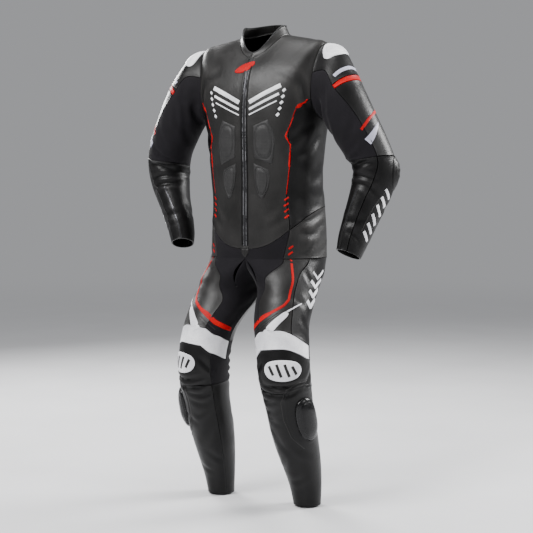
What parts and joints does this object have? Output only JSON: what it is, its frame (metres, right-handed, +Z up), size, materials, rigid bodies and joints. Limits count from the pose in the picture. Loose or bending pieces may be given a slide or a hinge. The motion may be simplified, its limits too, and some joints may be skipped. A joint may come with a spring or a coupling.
{
  "type": "motorcycle race suit",
  "caption": "One-piece leather motorcycle race suit, filled out as worn, with stand collar, front zip, armour cups, knee sliders and open neck, cuffs and hems.",
  "frame": {"origin": "centre of the neck base, where the wearer's shoulders hold the suit up", "axes": "+Z up, the front faces -Y, the wearer's left is +X"},
  "size_m": [0.8446, 0.3751, 1.4149],
  "materials": {
    "leather": "satin charcoal race leather",
    "white_leather": "smooth white leather",
    "red_leather": "smooth red leather",
    "stretch_cloth": "matt black stretch weave",
    "pad_cloth": "perforated grey leather over foam",
    "zip_tape": "black woven zip tape",
    "slider_plastic": "gloss black knee slider"
  },
  "bodies": {
    "root": {"collar_left": "leather", "collar_right": "leather", "zip_strip": "zip_tape", "zip_end_tab": "leather", "throat_patch": "red_leather", "front_left": "leather", "front_right": "leather", "side_left": "leather", "side_right": "leather", "back_left": "leather", "back_right": "leather", "lumbar_stretch": "stretch_cloth", "hip_left": "leather", "hip_right": "leather", "crotch_stretch_left": "stretch_cloth", "crotch_stretch_right": "stretch_cloth", "seat_left": "leather", "seat_right": "leather", "abdomen_pad_upper_left": "pad_cloth", "abdomen_pad_upper_right": "pad_cloth", "abdomen_pad_lower_left": "pad_cloth", "abdomen_pad_lower_right": "pad_cloth", "sleeve_cap_left": "leather", "sleeve_cap_right": "leather", "shoulder_cup_left": "white_leather", "shoulder_cup_right": "white_leather", "sleeve_red_band_left": "red_leather", "sleeve_red_band_right": "red_leather", "sleeve_outer_left": "leather", "sleeve_outer_right": "leather", "sleeve_stretch_left": "stretch_cloth", "sleeve_stretch_right": "stretch_cloth", "elbow_cup_left": "leather", "elbow_cup_right": "leather", "forearm_outer_left": "leather", "forearm_outer_right": "leather", "forearm_inner_left": "leather", "forearm_inner_right": "leather", "thigh_front_left": "leather", "thigh_front_right": "leather", "thigh_outer_left": "leather", "thigh_outer_right": "leather", "knee_band_left": "white_leather", "knee_band_right": "white_leather", "knee_front_left": "leather", "knee_front_right": "leather", "knee_patch_left": "white_leather", "knee_patch_right": "white_leather", "knee_back_left": "stretch_cloth", "knee_back_right": "stretch_cloth", "slider_base_left": "leather", "slider_base_right": "leather", "knee_slider_left": "slider_plastic", "knee_slider_right": "slider_plastic", "shin_front_left": "leather", "shin_front_right": "leather", "calf_left": "leather", "calf_right": "leather"}
  },
  "joints": []
}
